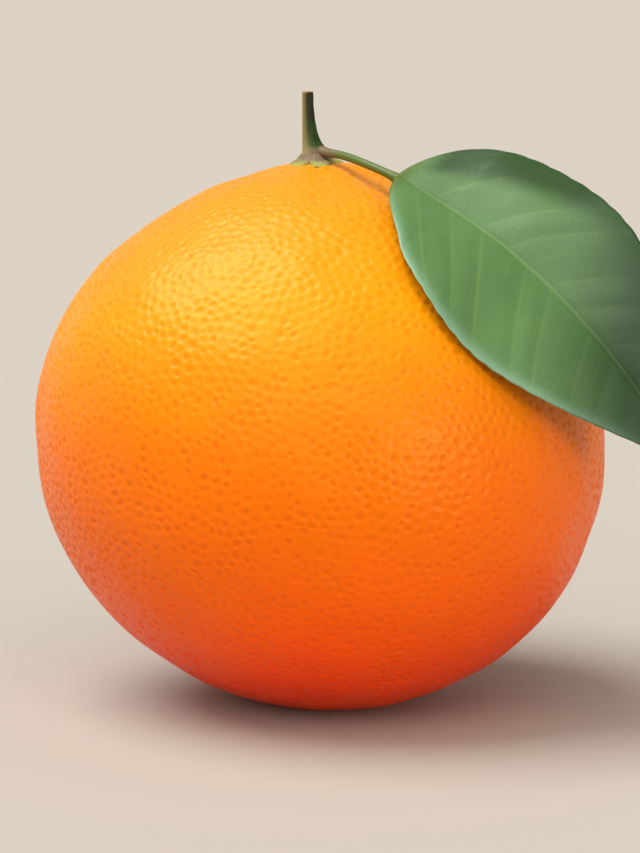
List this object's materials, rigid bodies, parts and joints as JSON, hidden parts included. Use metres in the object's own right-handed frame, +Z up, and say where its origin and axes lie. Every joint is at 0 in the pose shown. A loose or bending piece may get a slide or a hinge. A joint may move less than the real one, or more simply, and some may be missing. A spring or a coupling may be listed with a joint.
{
  "type": "orange with stem and leaf",
  "caption": "Whole fresh orange with a pitted peel, a short cut stem on a small calyx, and a glossy leaf arching over one shoulder of the fruit.",
  "frame": {"origin": "centre of the small flat spot that the fruit rests on", "axes": "+Z up through the fruit to the stem, +X towards the leaf's tip, -Y towards the side that the leaf leans over"},
  "size_m": [0.0883, 0.0796, 0.0857],
  "materials": {
    "peel": "satin",
    "calyx": "matte",
    "twig": "matte",
    "leaf": "satin"
  },
  "bodies": {
    "root": {"fruit": "peel", "calyx": "calyx", "stem": "twig", "leaf": "leaf"}
  },
  "joints": []
}
